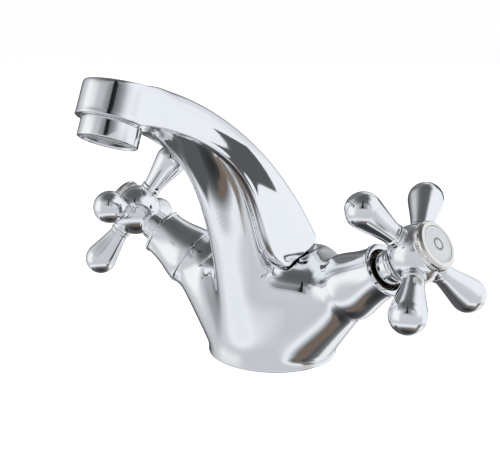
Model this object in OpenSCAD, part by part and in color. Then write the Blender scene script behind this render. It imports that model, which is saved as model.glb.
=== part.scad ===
// Two-handle basin mixer tap with a swan-neck spout and cross handles.
// Millimetres. The origin is the centre of the foot's underside, +Z is up,
// the spout points along -Y, and the cold side is at +X.

/* [Foot] */
// Diameter of the foot that stands on the basin
foot_d = 51.4; // [50:0.2:54]
// Height of the foot's rim
foot_h = 4; // [3.5:0.5:6]
// Rounding of the foot's lower edge
foot_edge = 1.2; // [0.5:0.1:1.6]
// Outer diameter of the sealing ring under the foot
seal_d = 47; // [44:0.5:47]
// Width of the sealing ring
seal_w = 3; // [2:0.5:4]
// Thickness of the sealing ring
seal_t = 2.5; // [2:0.25:3]

/* [Connections] */
// Thread diameter of each inlet
inlet_d = 10; // [8:0.5:12]
// Depth of each inlet thread
inlet_depth = 12; // [8:1:14]
// Distance of each inlet from the middle plane
inlet_x = 9.5; // [8.5:0.5:11]
// Distance of both inlets behind the foot's centre
inlet_y = 3; // [2:0.5:4]
// Thread diameter of the fixing stud's hole
stud_d = 8; // [6:1:9]
// Depth of the fixing stud's hole
stud_depth = 14; // [10:1:16]
// Distance of the stud's hole in front of the foot's centre
stud_y = 13; // [12:0.5:14]

/* [Valve arms] */
// Angle of each valve above the horizontal
valve_rise = 32.5; // [30:0.5:36]
// Angle by which each valve points forward
valve_splay = 10; // [6:0.5:14]
// Height at which the two valve axes would meet
valve_z = 10.2; // [9:0.2:12]
// Distance of that meeting point behind the foot's centre
valve_y = 1.3; // [0:0.1:3]
// Distance along the valve axis to the arm's end face
arm_len = 43.5; // [42:0.5:46]
// Diameter of the arm at its end face
arm_d = 24.4; // [24:0.2:25.2]
// Height by which the casting's end stands over the arm's axis
arm_lift = 1.2; // [0.5:0.1:2]
// Radius of the rounded shoulder between the arm and the spout
shoulder_r = 9.5; // [8:0.5:10]
// Height of the shoulder's top
shoulder_top = 46; // [44:0.5:47]
// Distance of the shoulder's middle from the middle plane
shoulder_x = 13; // [11:0.5:14]
// Distance of the shoulder's middle behind the foot's centre
shoulder_y = 5; // [3:0.5:7]
// Radius of the web that joins the arm to the front of the body
web_r = 11; // [9:0.5:12]

/* [Spout] */
// Distance of the outlet axis in front of the foot's centre, at the nose rim
reach = 90.5; // [86:0.5:96]
// Height of the nose rim's centre
rim_z = 97.3; // [94:0.5:102]
// Forward tilt of the outlet
nose_tilt = 21.5; // [18:0.5:25]
// Diameter of the nose
nose_d = 22; // [21:0.2:23]
// Height of the nose along the outlet axis
nose_h = 12; // [11.4:0.1:12.6]
// Angle by which the nose's top rises towards the spout
nose_rise = 8; // [5:0.5:10]
// Rounding of the nose's top edge
nose_edge = 1; // [0.6:0.1:1.6]
// Half width of the spout's outer band above its tongues
band_w = 12.4; // [11.8:0.1:13]
// Half width of the band's tongues, over the widening body
tongue_w = 14.2; // [13.6:0.1:14.8]
// Half width of the neck under the band
neck_w = 10.6; // [10:0.1:11]
// Diameter of the waterway in the neck
water_d = 7.5; // [6:0.5:8]
// Diameter of the ports into and out of each valve
port_d = 6; // [5:0.5:6.5]

/* [Aerator] */
// Outer diameter of the aerator housing
aer_d = 18.2; // [17.6:0.1:19]
// Length of the housing below the nose
aer_drop = 5.9; // [4.5:0.1:7]
// Diameter of the housing's thread
aer_thread_d = 16.4; // [15.8:0.1:16.6]
// Length of the housing's thread
aer_thread_len = 5; // [4:0.5:6]
// Width of the groove between the housing and the nose
aer_groove = 0.6; // [0.4:0.1:1]
// Wall of the housing
aer_wall = 1.2; // [1:0.1:1.4]
// Depth of the recess in the housing's mouth that holds the mesh
mesh_seat = 2.2; // [1.8:0.1:2.6]
// Thickness of the mesh
mesh_t = 0.6; // [0.4:0.1:0.8]
// Thickness of the washer above the aerator
washer_t = 1.5; // [1:0.1:2]

/* [Valve] */
// Thread diameter of the valve body
thread_d = 20.8; // [20.4:0.1:21]
// Length of the valve body's thread
thread_len = 9; // [7:0.5:10]
// Diameter of the valve body's cage below the thread
cage_d = 15; // [14.4:0.1:15.6]
// Length of the cage below the thread
cage_len = 11; // [10:0.5:12]
// Diameter of the chamber around the cage
chamber_d = 16.6; // [16.2:0.1:17.4]
// Width across the flats of the valve body's hexagon
hex_af = 17; // [16:0.5:17.5]
// Height of the hexagon
hex_h = 5; // [4:0.5:6]
// Thickness of the flange that seats on the arm
flange_t = 1.6; // [1.2:0.1:2]
// Diameter of the valve body's tower above the hexagon
tower_d = 13.6; // [13:0.2:14.6]
// Length of the tower
tower_len = 7; // [6:0.5:8]
// Diameter of the spindle
spindle_d = 8; // [7.6:0.1:8.4]
// Running clearance around the spindle
spindle_gap = 0.05; // [0.03:0.01:0.08]
// Diameter of the ceramic discs
disc_d = 12; // [11:0.2:12.4]
// Thickness of each ceramic disc
disc_t = 3; // [2.5:0.1:3.4]
// Thickness of the seat seal below the cage
seat_t = 2; // [1.5:0.1:2.4]
// Thickness of an O-ring on the spindle
ring_t = 1.5; // [1.2:0.1:1.8]
// Side of the square drive at the spindle's end
square_w = 5.4; // [5:0.1:5.6]
// Clearance between the drive and the handle
drive_gap = 0.1; // [0.05:0.01:0.15]

/* [Sleeve] */
// Length of the sleeve over the valve
sleeve_len = 18.5; // [17:0.5:19]
// Diameter of the sleeve's wide end
sleeve_wide = 25.4; // [25.2:0.1:26.2]
// Diameter of the sleeve's narrow end
sleeve_narrow = 19.4; // [19:0.1:20]
// Wall of the sleeve
sleeve_wall = 1.3; // [1.1:0.1:1.5]

/* [Handle] */
// Distance along the valve axis to the hub's centre
hub_s = 76.5; // [76:0.5:79]
// Diameter of the hub's ball
hub_d = 20.8; // [20:0.2:21.6]
// Diameter of the collar that carries the index cap
collar_d = 17.2; // [16.8:0.1:17.4]
// Diameter of the stem below the ball
stem_d = 12.6; // [12:0.1:13.4]
// Distance from the hub's centre to the middle of each arm's ball end
arm_reach = 26.1; // [24:0.1:29]
// Diameter of each arm's ball end
ball_d = 12.9; // [12:0.1:14]
// Diameter of each arm where it meets the hub
arm_root_d = 7.6; // [7:0.1:8.4]
// Diameter of the arm's threaded peg
peg_d = 4; // [3:0.5:4.5]
// Length of the arm's threaded peg
peg_len = 4; // [3:0.5:4.5]
// Rest angle of the cold handle about its axis
cold_angle = 43.5; // [0:0.5:90]
// Rest angle of the hot handle about its axis
hot_angle = 74.7; // [0:0.1:90]

/* [Index cap] */
// Diameter of the knurled index cap
cap_d = 17.7; // [17.5:0.1:18.6]
// Distance from the hub's centre to the cap's face
cap_s = 9.4; // [9.2:0.1:10]
// Height of the cap
cap_h = 3.2; // [3:0.1:3.6]
// Height of the knurled band
knurl_h = 1.5; // [1:0.1:1.8]
// Number of knurls
knurl_count = 72; // [48:4:96]
// Depth of a knurl
knurl_depth = 0.3; // [0.2:0.05:0.4]
// Diameter of the index disc
index_d = 13.1; // [12.4:0.1:13.6]
// Thickness of the index disc
index_t = 0.8; // [0.6:0.1:1]

/* [Hidden] */
$fn = 96;
// Overlap that lets a cut run clear of a face
eps = 0.01;
// Depth by which the band starts inside the nose's skin
skin = 0.16;
// Length of the feed below a valve's seat, down to the inlet's bore
feed_len = 9;
// Clearance between pieces that are pushed or screwed together
fit_gap = 0.1;
foot_r = foot_d / 2;
nose_r = nose_d / 2;
aer_r = aer_d / 2;
hub_r = hub_d / 2;
insert_bore = aer_d - 4 * aer_wall;
ball_r = ball_d / 2;

// Places along the valve axis
flange_top = arm_len + flange_t;
hex_top = flange_top + hex_h;
tower_top = hex_top + tower_len;
thread_low = arm_len - thread_len;
cage_low = thread_low - cage_len;
seat_low = cage_low - seat_t;
fixed_low = cage_low + 0.5;
moving_low = fixed_low + disc_t + 0.05;
foot_low = moving_low + disc_t + 0.05;
foot_top = foot_low + 3;
clip_low = tower_top + 0.1;
clip_t = 0.8;
sleeve_top = arm_len + sleeve_len;
cap_top = hub_s + cap_s;
cap_low = cap_top - cap_h;
stem_low = sleeve_top - 2.4;
spindle_top = hub_s - 1.5;
square_low = stem_low + 0.3;
screw_seat = spindle_top + 2;

// Spout curves in the plane x = 0, as shares of the reach and the rim's height
function swan(a, b) = [-a * reach, b * rim_z];
function bez(p, t) = len(p) == 1 ? p[0]
    : bez([for (i = [0 : len(p) - 2]) p[i] * (1 - t) + p[i + 1] * t], t);
rim_c = swan(1, 1);
up = [sin(nose_tilt), cos(nose_tilt)];
back = [cos(nose_tilt), -sin(nose_tilt)];
top_c = rim_c + up * nose_h;
band_back = [top_c - up * 2 * skin, swan(0.948, 1.109), swan(0.428, 1.142), swan(-0.11, 0.634),
    swan(-0.126, 0.61), swan(-0.237, 0.468)];
band_edge = [rim_c + up * skin * 1.5, swan(0.731, 0.976), swan(0.322, 0.83), swan(0.326, 0.666),
    swan(0.33, 0.461), swan(0.162, 0.407)];
neck_front = [rim_c + back * 8 + up * 0.5, swan(0.581, 0.943), swan(0.387, 0.71),
    swan(0.475, 0.569), swan(0.35, 0.345), [1 - foot_r, foot_h - 1]];
neck_back = [top_c + back * 6 - up * 3.2, swan(0.6, 1.08), swan(0.2, 0.737),
    swan(-0.02, 0.72), swan(-0.3, 0.48), [foot_r - 1, foot_h - 1]];
function band_half(t) = bez([nose_r - skin, nose_r + 0.4, nose_r + 0.8, band_w, tongue_w], t);
function neck_half(t) = neck_w + 0.6 * t + (foot_r - neck_w - 2) * pow(t, 5);
// A rounded section: 2 is an ellipse, and a higher power is squarer
function round_pow(v, p) = sign(v) * pow(abs(v), 2 / p);
// Place on the neck's curves where the mixed-water way starts
water_start = 0.84;
// Middle of the neck's waterway
function water(t) = (bez(neck_front, t) * 0.55 + bez(neck_back, t) * 0.45);

// Places its children on a valve axis, +Z along the axis: side 1 is cold, -1 is hot
module on_valve(side) {
    mirror([side < 0 ? 1 : 0, 0, 0])
        translate([0, valve_y, valve_z])
            rotate([0, 90 - valve_rise, -valve_splay])
                children();
}

// Places its children on a valve axis, turned to the handle's rest angle
module on_handle(side) {
    on_valve(side)
        rotate([0, 0, side > 0 ? cold_angle : hot_angle])
            children();
}

// Places its children at the nose rim's centre, +Z up along the outlet axis
module on_nose() {
    translate([0, rim_c[0], rim_c[1]])
        rotate([-nose_tilt, 0, 0])
            children();
}

// A round bar between two points
module bar(a, b, d) {
    v = b - a;
    translate(a)
        rotate([0, acos(v[2] / norm(v)), atan2(v[1], v[0])])
            cylinder(d = d, h = norm(v));
}

// A tube that stands on z = 0
module tube(outer_d, inner_d, h) {
    difference() {
        cylinder(d = outer_d, h = h);
        translate([0, 0, -eps])
            cylinder(d = inner_d, h = h + 2 * eps);
    }
}

// Skin between rings of points that all have the same count, closed at both ends
module loft(rings) {
    n = len(rings[0]);
    last = len(rings) - 1;
    polyhedron(
        points = [for (r = rings) for (p = r) p],
        faces = concat(
            [[for (j = [n - 1 : -1 : 0]) j]],
            [for (i = [0 : last - 1]) for (j = [0 : n - 1])
                [i * n + j, i * n + (j + 1) % n, (i + 1) * n + (j + 1) % n]],
            [for (i = [0 : last - 1]) for (j = [0 : n - 1])
                [i * n + j, (i + 1) * n + (j + 1) % n, (i + 1) * n + j]],
            [[for (j = [0 : n - 1]) last * n + j]]));
}

// The spout's outer band, from the nose to the tongues beside the arms
module band() {
    rings = 30;
    half_points = 20;
    loft([for (i = [0 : rings]) let (
            t = i / rings,
            edge = bez(band_edge, t),
            crown = bez(band_back, t),
            w = band_half(t),
            p = 5 - 2.2 * min(1, 1.5 * t))
        [for (j = [0 : half_points]) let (
                a = 180 * j / half_points,
                q = edge + (crown - edge) * round_pow(sin(a), p))
            [w * round_pow(cos(a), p), q[0], q[1]]]]);
}

// The neck and the front and back of the body, down to the foot
module neck() {
    rings = 30;
    points = 36;
    loft([for (i = [0 : rings]) let (
            t = i / rings,
            front = bez(neck_front, t),
            rear = bez(neck_back, t),
            mid = (front + rear) / 2,
            half = (rear - front) / 2,
            w = neck_half(t),
            p = 2.5 - 0.5 * t)
        [for (j = [0 : points - 1]) let (
                a = 360 * j / points,
                q = mid + half * round_pow(sin(a), p))
            [w * round_pow(cos(a), p), q[0], q[1]]]]);
}

// The round stump, set in from the foot's rim, that a side of the casting grows from
module stump(inset) {
    translate([0, 0, foot_h - 2 - inset / 4])
        cylinder(r = foot_r - inset, h = 3, $fn = 48);
}

// The arm of the casting that carries one valve, with its shoulder and front web
module arm_root(side) {
    hull() {
        stump(0.6);
        on_valve(side)
            translate([-arm_lift, 0, arm_len - 3.5])
                cylinder(d = arm_d - 0.4, h = 2, $fn = 48);
        translate([side * shoulder_x, shoulder_y, shoulder_top - shoulder_r])
            sphere(r = shoulder_r, $fn = 32);
    }
    hull() {
        stump(1.7);
        translate([0, -web_r * 1.8, web_r * 2.5])
            sphere(r = web_r, $fn = 32);
        on_valve(side)
            translate([0, 0, arm_len - web_r - 1])
                sphere(r = web_r - 1, $fn = 32);
    }
    on_valve(side)
        translate([0, 0, arm_len - 8])
            cylinder(d = arm_d, h = 8);
}

// The chamber, the thread and the water ports of one valve, as one cut
module valve_cut(side) {
    on_valve(side) {
        translate([0, 0, thread_low])
            cylinder(d = thread_d + 2 * fit_gap, h = thread_len + 1);
        translate([0, 0, seat_low])
            cylinder(d = chamber_d, h = arm_len - seat_low);
        translate([0, 0, seat_low - feed_len])
            cylinder(d = port_d, h = feed_len + 1);
    }
}

// Straight runs of the mixed-water way, from the valves up to the nose
module waterway() {
    run = concat([for (t = [water_start, 0.62, 0.46, 0.3]) water(t)], [rim_c + up * 5.4]);
    for (i = [0 : len(run) - 2]) {
        a = run[i];
        b = run[i + 1];
        lap = (b - a) / norm(b - a) * 1.5;
        bar([0, a[0] - lap[0], a[1] - lap[1]], [0, b[0] + lap[0], b[1] + lap[1]], water_d);
    }
}

// The port from one valve's chamber to the mixed-water way
module port(side) {
    s = cage_low + 5;
    rise = s * sin(valve_rise);
    flat = s * cos(valve_rise);
    start = water(water_start);
    bar([side * flat * cos(valve_splay), valve_y - flat * sin(valve_splay), valve_z + rise],
        [0, start[0], start[1]], port_d);
}

// The round nose, whose top rises towards the spout
module nose() {
    on_nose()
        hull() {
            cylinder(r = nose_r - 0.4, h = 1);
            translate([0, 0, 0.4])
                cylinder(r = nose_r, h = 1);
            translate([0, 0, nose_h])
                rotate([nose_rise, 0, 0]) {
                    translate([0, 0, -1])
                        cylinder(r = nose_r - nose_edge, h = 1);
                    translate([0, 0, -nose_edge])
                        rotate_extrude()
                            translate([nose_r - nose_edge, 0])
                                circle(r = nose_edge, $fn = 24);
                }
        }
}

// The one-piece casting: foot, arms, neck, band and nose
module body() {
    color("gainsboro")
        difference() {
            union() {
                rotate_extrude()
                    polygon([[0, 0], [foot_r - foot_edge, 0], [foot_r, foot_edge],
                        [foot_r - 0.3, foot_h], [0, foot_h]]);
                arm_root(1);
                arm_root(-1);
                neck();
                band();
                nose();
            }
            valve_cut(1);
            valve_cut(-1);
            port(1);
            port(-1);
            waterway();
            // Room around the aerator's collar
            on_nose()
                translate([0, 0, -aer_drop - 1])
                    cylinder(d = aer_d + 6 * fit_gap, h = aer_drop + 1 + fit_gap / 2);
            // Outlet thread and the seat of the aerator's washer
            on_nose()
                translate([0, 0, -eps])
                    cylinder(d = aer_thread_d + 2 * fit_gap, h = aer_thread_len + washer_t + 0.5);
            // Inlets, the way up to each valve seat, and the fixing stud
            for (x = [-inlet_x, inlet_x])
                translate([x, inlet_y, -eps]) {
                    cylinder(d = inlet_d, h = inlet_depth);
                    cylinder(d = 5, h = inlet_depth + 3);
                }
            translate([0, -stud_y, -eps])
                cylinder(d = stud_d, h = stud_depth);
            // Groove of the sealing ring
            translate([0, 0, -eps])
                tube(seal_d + fit_gap, seal_d - 2 * seal_w - fit_gap, seal_t + eps);
        }
}

module base_seal() {
    color("dimgray")
        tube(seal_d, seal_d - 2 * seal_w, seal_t);
}

// The chromed ring that screws into the nose
module aerator_housing() {
    color("silver")
        on_nose()
            difference() {
                union() {
                    translate([0, 0, -aer_drop])
                        cylinder(d = aer_d, h = aer_drop - aer_groove);
                    translate([0, 0, -aer_drop])
                        cylinder(d = aer_d - 0.5, h = aer_drop);
                    cylinder(d = aer_thread_d, h = aer_thread_len);
                }
                translate([0, 0, -aer_drop + 1])
                    cylinder(d = insert_bore, h = aer_drop + aer_thread_len);
                translate([0, 0, -aer_drop - eps])
                    cylinder(d = aer_d - 2 * aer_wall, h = mesh_seat + eps);
            }
}

// The plastic insert that breaks up the water, with its ring of slots
module aerator_insert() {
    insert_d = insert_bore - 2 * fit_gap;
    low = -aer_drop + mesh_seat;
    color("white")
        on_nose()
            difference() {
                translate([0, 0, low])
                    cylinder(d = insert_d, h = aer_thread_len - low);
                for (a = [0 : 45 : 315])
                    rotate([0, 0, a])
                        translate([insert_d / 2 - 2.6, 0, low - eps])
                            cylinder(d = 2.2, h = aer_thread_len - low + 1);
                translate([0, 0, low - eps])
                    cylinder(d = 3, h = aer_thread_len - low + 1);
            }
}

// The steel screen at the outlet, a thin plate with a square pattern of holes
module aerator_mesh() {
    mesh_d = aer_d - 2 * aer_wall - 2 * fit_gap;
    pitch = 2.2;
    rows = floor((mesh_d / 2 - 1.4) / pitch);
    color("darkgray")
        on_nose()
            translate([0, 0, -aer_drop + mesh_seat - mesh_t - fit_gap / 2])
                difference() {
                    cylinder(d = mesh_d, h = mesh_t);
                    for (x = [-rows : rows])
                        for (y = [-rows : rows])
                            if (norm([x, y]) * pitch < mesh_d / 2 - 1.4)
                                translate([x * pitch, y * pitch, 0])
                                    cube([1.5, 1.5, 3 * mesh_t], center = true);
                }
}

module aerator_washer() {
    color("black")
        on_nose()
            translate([0, 0, aer_thread_len + 0.1])
                tube(aer_thread_d - 0.4, aer_thread_d - 5, washer_t);
}

// The bell-shaped sleeve over the valve body
module sleeve(side) {
    wide = sleeve_wide / 2;
    narrow = sleeve_narrow / 2;
    waist = narrow + 0.28 * (wide - narrow);
    mid = 0.55 * sleeve_len;
    color("silver")
        on_valve(side)
            translate([0, 0, arm_len + fit_gap])
                rotate_extrude()
                    polygon([
                        [wide - sleeve_wall, 0], [wide - 0.3, 0], [wide, 0.4],
                        [wide - 0.4, 2.5], [waist, mid], [narrow, sleeve_len - 1],
                        [narrow - 0.6, sleeve_len - fit_gap],
                        [narrow - 1.6, sleeve_len - fit_gap],
                        [narrow - 2, sleeve_len - 0.6],
                        [narrow - 2, sleeve_len - 2.4],
                        [narrow - sleeve_wall, sleeve_len - 3.2],
                        [waist - sleeve_wall, mid],
                        [wide - 0.4 - sleeve_wall, 2.5]]);
}

// The brass headwork that screws into the arm
module valve_body(side) {
    flange_d = sleeve_wide - 2 * sleeve_wall - 1.6;
    color("goldenrod")
        on_valve(side)
            difference() {
                union() {
                    translate([0, 0, cage_low])
                        cylinder(d = cage_d, h = cage_len + 1);
                    translate([0, 0, thread_low])
                        cylinder(d = thread_d, h = thread_len);
                    translate([0, 0, arm_len])
                        cylinder(d = flange_d, h = flange_t);
                    translate([0, 0, flange_top - eps])
                        cylinder(d = hex_af / cos(30), h = hex_h + eps, $fn = 6);
                    translate([0, 0, hex_top - eps])
                        cylinder(d = tower_d, h = tower_len + eps);
                }
                // Room for the discs and the spindle's foot
                translate([0, 0, cage_low - 1])
                    cylinder(d = disc_d + 0.2, h = foot_top + 0.1 - cage_low + 1);
                // Bore that guides the spindle
                translate([0, 0, cage_low])
                    cylinder(d = spindle_d + 2 * spindle_gap, h = tower_top - cage_low + 1);
                // Side windows that let the water out
                translate([0, 0, moving_low + 1.6])
                    cube([cage_d + 2, 5, 3], center = true);
            }
}

module seat_seal(side) {
    color("dimgray")
        on_valve(side)
            translate([0, 0, seat_low])
                tube(cage_d - 0.6, 8.6, seat_t);
}

// A ceramic disc with two water ports
module ceramic_disc(low, turn) {
    translate([0, 0, low])
        rotate([0, 0, turn])
            difference() {
                cylinder(d = disc_d, h = disc_t);
                for (x = [-1, 1])
                    translate([x * disc_d * 0.24, 0, -eps])
                        cylinder(d = disc_d * 0.28, h = disc_t + 2 * eps);
            }
}

module fixed_disc(side) {
    color("ivory")
        on_valve(side)
            ceramic_disc(fixed_low, 0);
}

module moving_disc(side) {
    color("linen")
        on_valve(side)
            ceramic_disc(moving_low, 90);
}

// The spindle: a foot that drives the moving disc, two ring grooves and a square end
module spindle(side) {
    color("khaki")
        on_handle(side)
            difference() {
                union() {
                    translate([0, 0, foot_low])
                        cylinder(d = disc_d - 0.4, h = foot_top - foot_low);
                    translate([0, 0, foot_low])
                        cylinder(d = spindle_d, h = square_low - foot_low);
                    translate([0, 0, (square_low + spindle_top) / 2 - eps])
                        cube([square_w, square_w, spindle_top - square_low + 2 * eps],
                            center = true);
                }
                for (s = [foot_top + 3, foot_top + 7])
                    translate([0, 0, s])
                        tube(spindle_d + 1, spindle_d - 2 * ring_t, ring_t + 0.2);
                translate([0, 0, clip_low])
                    tube(spindle_d + 1, spindle_d - 1.4, clip_t + 0.1);
                // Thread of the handle's screw
                translate([0, 0, spindle_top - 8])
                    cylinder(d = 4, h = 8 + eps);
            }
}

module spindle_rings(side) {
    color("black")
        on_valve(side)
            for (s = [foot_top + 3.1, foot_top + 7.1])
                translate([0, 0, s + ring_t / 2])
                    rotate_extrude()
                        translate([spindle_d / 2 - ring_t / 2, 0])
                            circle(d = ring_t - 0.04, $fn = 32);
}

// The open clip that keeps the spindle in its body
module clip(side) {
    color("slategray")
        on_valve(side)
            translate([0, 0, clip_low + 0.05])
                difference() {
                    tube(spindle_d + 3.4, spindle_d - 1.3, clip_t - 0.05);
                    translate([0, -1.4, -eps])
                        cube([spindle_d, 2.8, clip_t + 1]);
                }
}

// The handle's ball with its stem and collar
module hub(side) {
    color("silver")
        on_handle(side)
            difference() {
                union() {
                    translate([0, 0, hub_s])
                        intersection() {
                            sphere(r = hub_r);
                            translate([0, 0, -hub_r])
                                cylinder(r = hub_r, h = cap_s - cap_h + hub_r);
                        }
                    translate([0, 0, stem_low])
                        cylinder(d = stem_d, h = hub_s - stem_low);
                    translate([0, 0, hub_s])
                        cylinder(d = collar_d, h = cap_s - cap_h);
                    // Flat pads that the arms screw against
                    for (a = [0 : 90 : 270])
                        rotate([0, 0, a])
                            translate([0, 0, hub_s])
                                rotate([0, 90, 0])
                                    cylinder(d = arm_root_d + 0.6, h = hub_r + 0.2);
                }
                translate([0, 0, stem_low - eps])
                    cylinder(d = spindle_d + 0.4, h = 0.6);
                translate([0, 0, (stem_low + spindle_top + 0.2) / 2])
                    cube([square_w + 2 * drive_gap, square_w + 2 * drive_gap,
                        spindle_top + 0.2 - stem_low], center = true);
                translate([0, 0, stem_low])
                    cylinder(d = 4.4, h = hub_s + hub_r - stem_low);
                translate([0, 0, screw_seat])
                    cylinder(d = 8.4, h = hub_r);
                for (a = [0 : 90 : 270])
                    rotate([0, 0, a])
                        translate([hub_r + 0.2 - peg_len - 0.3, 0, hub_s])
                            rotate([0, 90, 0])
                                cylinder(d = peg_d + 2 * fit_gap, h = peg_len + 1);
            }
}

// One pear-shaped arm with its peg and collar
module handle_arm(side, turn) {
    root = hub_r + 0.25;
    root_r = arm_root_d / 2;
    lean = asin((ball_r - root_r) / (arm_reach - root));
    color("gainsboro")
        on_handle(side)
            rotate([0, 0, turn])
                translate([0, 0, hub_s])
                    rotate([0, 90, 0])
                        rotate_extrude() {
                            polygon([
                                [0, root - peg_len], [peg_d / 2, root - peg_len],
                                [peg_d / 2, root], [root_r, root], [root_r + 0.3, root + 0.3],
                                [root_r + 0.3, root + 1.2], [root_r, root + 1.5],
                                [ball_r * cos(lean), arm_reach - ball_r * sin(lean)],
                                [0, arm_reach]]);
                            intersection() {
                                translate([0, arm_reach])
                                    circle(r = ball_r);
                                translate([0, arm_reach - ball_r])
                                    square([ball_r, 2 * ball_r]);
                            }
                        }
}

// The screw that holds the handle on the spindle
module screw(side) {
    color("darkgray")
        on_handle(side)
            difference() {
                union() {
                    translate([0, 0, spindle_top - 7])
                        cylinder(d = 3.8, h = screw_seat + 1 - spindle_top + 7);
                    translate([0, 0, screw_seat])
                        cylinder(d = 7.6, h = 2.4);
                }
                translate([0, 0, screw_seat + 1.6])
                    cube([9, 1.2, 1.8], center = true);
            }
}

// The index cap: a knurled band under a smooth chamfered rim, open in the middle
module cap(side) {
    knurl_r = cap_d / 2;
    color("antiquewhite")
        on_handle(side)
            difference() {
                union() {
                    translate([0, 0, cap_low])
                        linear_extrude(knurl_h)
                            polygon([for (i = [0 : 2 * knurl_count - 1]) let (
                                    r = knurl_r - (i % 2) * knurl_depth,
                                    a = 180 * i / knurl_count)
                                [r * cos(a), r * sin(a)]]);
                    translate([0, 0, cap_low])
                        rotate_extrude()
                            polygon([[0, knurl_h - 0.2],
                                [knurl_r - knurl_depth - 0.3, knurl_h - 0.2],
                                [knurl_r - 0.05, knurl_h + 0.25],
                                [knurl_r - 0.05, cap_h - 0.7],
                                [knurl_r - 0.7, cap_h - 0.1],
                                [knurl_r - 1.4, cap_h], [0, cap_h]]);
                }
                translate([0, 0, cap_top - index_t])
                    cylinder(d = index_d + 0.2, h = index_t + 1);
                translate([0, 0, cap_low - eps])
                    cylinder(d = 9, h = cap_h - index_t - 0.8);
            }
}

// The pale plain disc in the cap
module index_disc(side) {
    color("whitesmoke")
        on_handle(side)
            translate([0, 0, cap_top - index_t + 0.02])
                cylinder(d = index_d, h = index_t - 0.05);
}

body();
base_seal();
aerator_housing();
aerator_insert();
aerator_mesh();
aerator_washer();
sleeve(1);  // cold_sleeve
valve_body(1);  // cold_valve_body
seat_seal(1);  // cold_seat_seal
fixed_disc(1);  // cold_fixed_disc
moving_disc(1);  // cold_moving_disc
spindle(1);  // cold_spindle
spindle_rings(1);  // cold_spindle_rings
clip(1);  // cold_clip
hub(1);  // cold_hub
handle_arm(1, 0);  // cold_arm_1
handle_arm(1, 90);  // cold_arm_2
handle_arm(1, 180);  // cold_arm_3
handle_arm(1, 270);  // cold_arm_4
screw(1);  // cold_screw
cap(1);  // cold_cap
index_disc(1);  // cold_index
sleeve(-1);  // hot_sleeve
valve_body(-1);  // hot_valve_body
seat_seal(-1);  // hot_seat_seal
fixed_disc(-1);  // hot_fixed_disc
moving_disc(-1);  // hot_moving_disc
spindle(-1);  // hot_spindle
spindle_rings(-1);  // hot_spindle_rings
clip(-1);  // hot_clip
hub(-1);  // hot_hub
handle_arm(-1, 0);  // hot_arm_1
handle_arm(-1, 90);  // hot_arm_2
handle_arm(-1, 180);  // hot_arm_3
handle_arm(-1, 270);  // hot_arm_4
screw(-1);  // hot_screw
cap(-1);  // hot_cap
index_disc(-1);  // hot_index
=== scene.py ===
from math import asin, cos, exp, pi, radians, sin, sqrt, tan

import bmesh
import bpy
from mathutils import Matrix, Vector


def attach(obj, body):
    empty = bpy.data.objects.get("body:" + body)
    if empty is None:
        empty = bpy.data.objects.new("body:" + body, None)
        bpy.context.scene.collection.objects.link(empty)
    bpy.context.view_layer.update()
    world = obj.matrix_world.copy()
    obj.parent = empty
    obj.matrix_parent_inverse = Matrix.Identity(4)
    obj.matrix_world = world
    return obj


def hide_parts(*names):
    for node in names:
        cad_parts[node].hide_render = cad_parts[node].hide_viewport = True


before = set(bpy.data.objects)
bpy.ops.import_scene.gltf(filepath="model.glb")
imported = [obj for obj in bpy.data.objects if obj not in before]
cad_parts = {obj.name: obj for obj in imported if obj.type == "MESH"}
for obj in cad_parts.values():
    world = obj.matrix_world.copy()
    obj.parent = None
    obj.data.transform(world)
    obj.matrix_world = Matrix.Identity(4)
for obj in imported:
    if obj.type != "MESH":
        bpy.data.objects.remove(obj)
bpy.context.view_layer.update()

# Every size below is in millimetres. A piece is scaled to metres when it is put in place.
MM = 0.001

# Foot, inlets and fixing stud
FOOT_R, FOOT_H, FOOT_EDGE = 25.7, 4.0, 0.7
SEAL_OUT, SEAL_IN, SEAL_T = 23.55, 20.45, 2.5
INLET_R, INLET_X, INLET_Y, INLET_DEPTH = 5.0, 9.5, 3.0, 12.0
STUD_R, STUD_Y, STUD_DEPTH = 4.0, 13.0, 14.0

# Valve axes
VALVE_RISE, VALVE_SPLAY = radians(32.5), radians(10)
VALVE_Y, VALVE_Z = 1.3, 10.2
ARM_LEN, ARM_D = 43.5, 24.4
SHOULDER_R, SHOULDER_PLACE, WEB_R = 9.5, (13.0, 11.5, 34.5), 11.0
SLEEVE_LEN, SLEEVE_WIDE, SLEEVE_NARROW, SLEEVE_WALL = 18.5, 12.7, 9.7, 1.3

# Spout. Its flat outer band ends low down in a tongue.
REACH, RIM_Z, NOSE_TILT = 90.5, 97.3, radians(21.5)
NOSE_R, NOSE_H, NOSE_RISE = 11.0, 12.0, radians(8)
BAND_W, TONGUE_W, NECK_W = 12.4, 14.2, 10.6

# Aerator and its screen
AER_R, AER_DROP, AER_WALL, MESH_SEAT = 9.1, 5.9, 1.2, 2.2
AER_TOP, AER_SHANK_R, AER_GROOVE = 4.5, 8.15, 0.35
AER_PLAY, AER_RECESS = 0.15, 0.4
WIRE_PITCH, WIRE_T, SCREEN_PLAY, SCREEN_DROP = 0.92, 0.34, 0.1, 0.35
RING_W, RING_HALF = 0.7, 0.25

# Handles
HUB_S, HUB_R, COLLAR_R, STEM_R = 76.5, 10.4, 8.6, 6.3
STEM_LOW, CAP_S, CAP_H = 59.6, 9.4, 3.2
ARM_REACH, BALL_R, ARM_ROOT_R = 26.1, 6.45, 3.8
COLD_ANGLE, HOT_ANGLE = radians(43.5), radians(74.7)
CAP_R, KNURL_H, KNURLS, KNURL_DEPTH, KNURL_EDGE = 8.85, 1.5, 72, 0.3, 0.15
INDEX_R, INDEX_T, MARK_IN, MARK_OUT = 6.55, 0.8, 1.6, 2.3
HUB_BORE, COLLAR_BORE, CAP_BORE, PAD_LOW = 4.2, 4, 4.4, 8

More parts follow.
